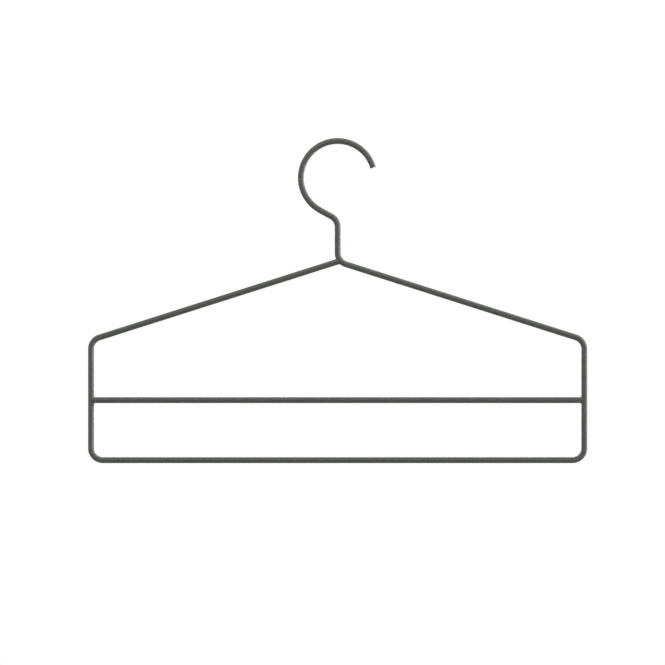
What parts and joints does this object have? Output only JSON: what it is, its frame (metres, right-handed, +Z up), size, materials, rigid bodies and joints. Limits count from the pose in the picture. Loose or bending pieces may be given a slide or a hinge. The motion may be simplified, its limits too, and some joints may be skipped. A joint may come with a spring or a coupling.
{
  "type": "trouser hanger",
  "caption": "Closed metal trouser hanger bent from one round rod, with a fixed open hook, sloping shoulders, a welded trouser bar and a bottom bar.",
  "frame": {"origin": "top of the inside of the hook, the point that rests on a rail", "axes": "+Z up, +X along the hanger's width towards the side that the hook opens to, +Y from front to back"},
  "size_m": [0.42, 0.005, 0.2734],
  "materials": {
    "powder_coat": "fine-textured matt powder coat, dark olive grey"
  },
  "bodies": {
    "root": {"frame_rod": "powder_coat", "trouser_bar": "powder_coat", "neck_weld": "powder_coat", "left_bar_weld": "powder_coat", "right_bar_weld": "powder_coat"}
  },
  "joints": []
}
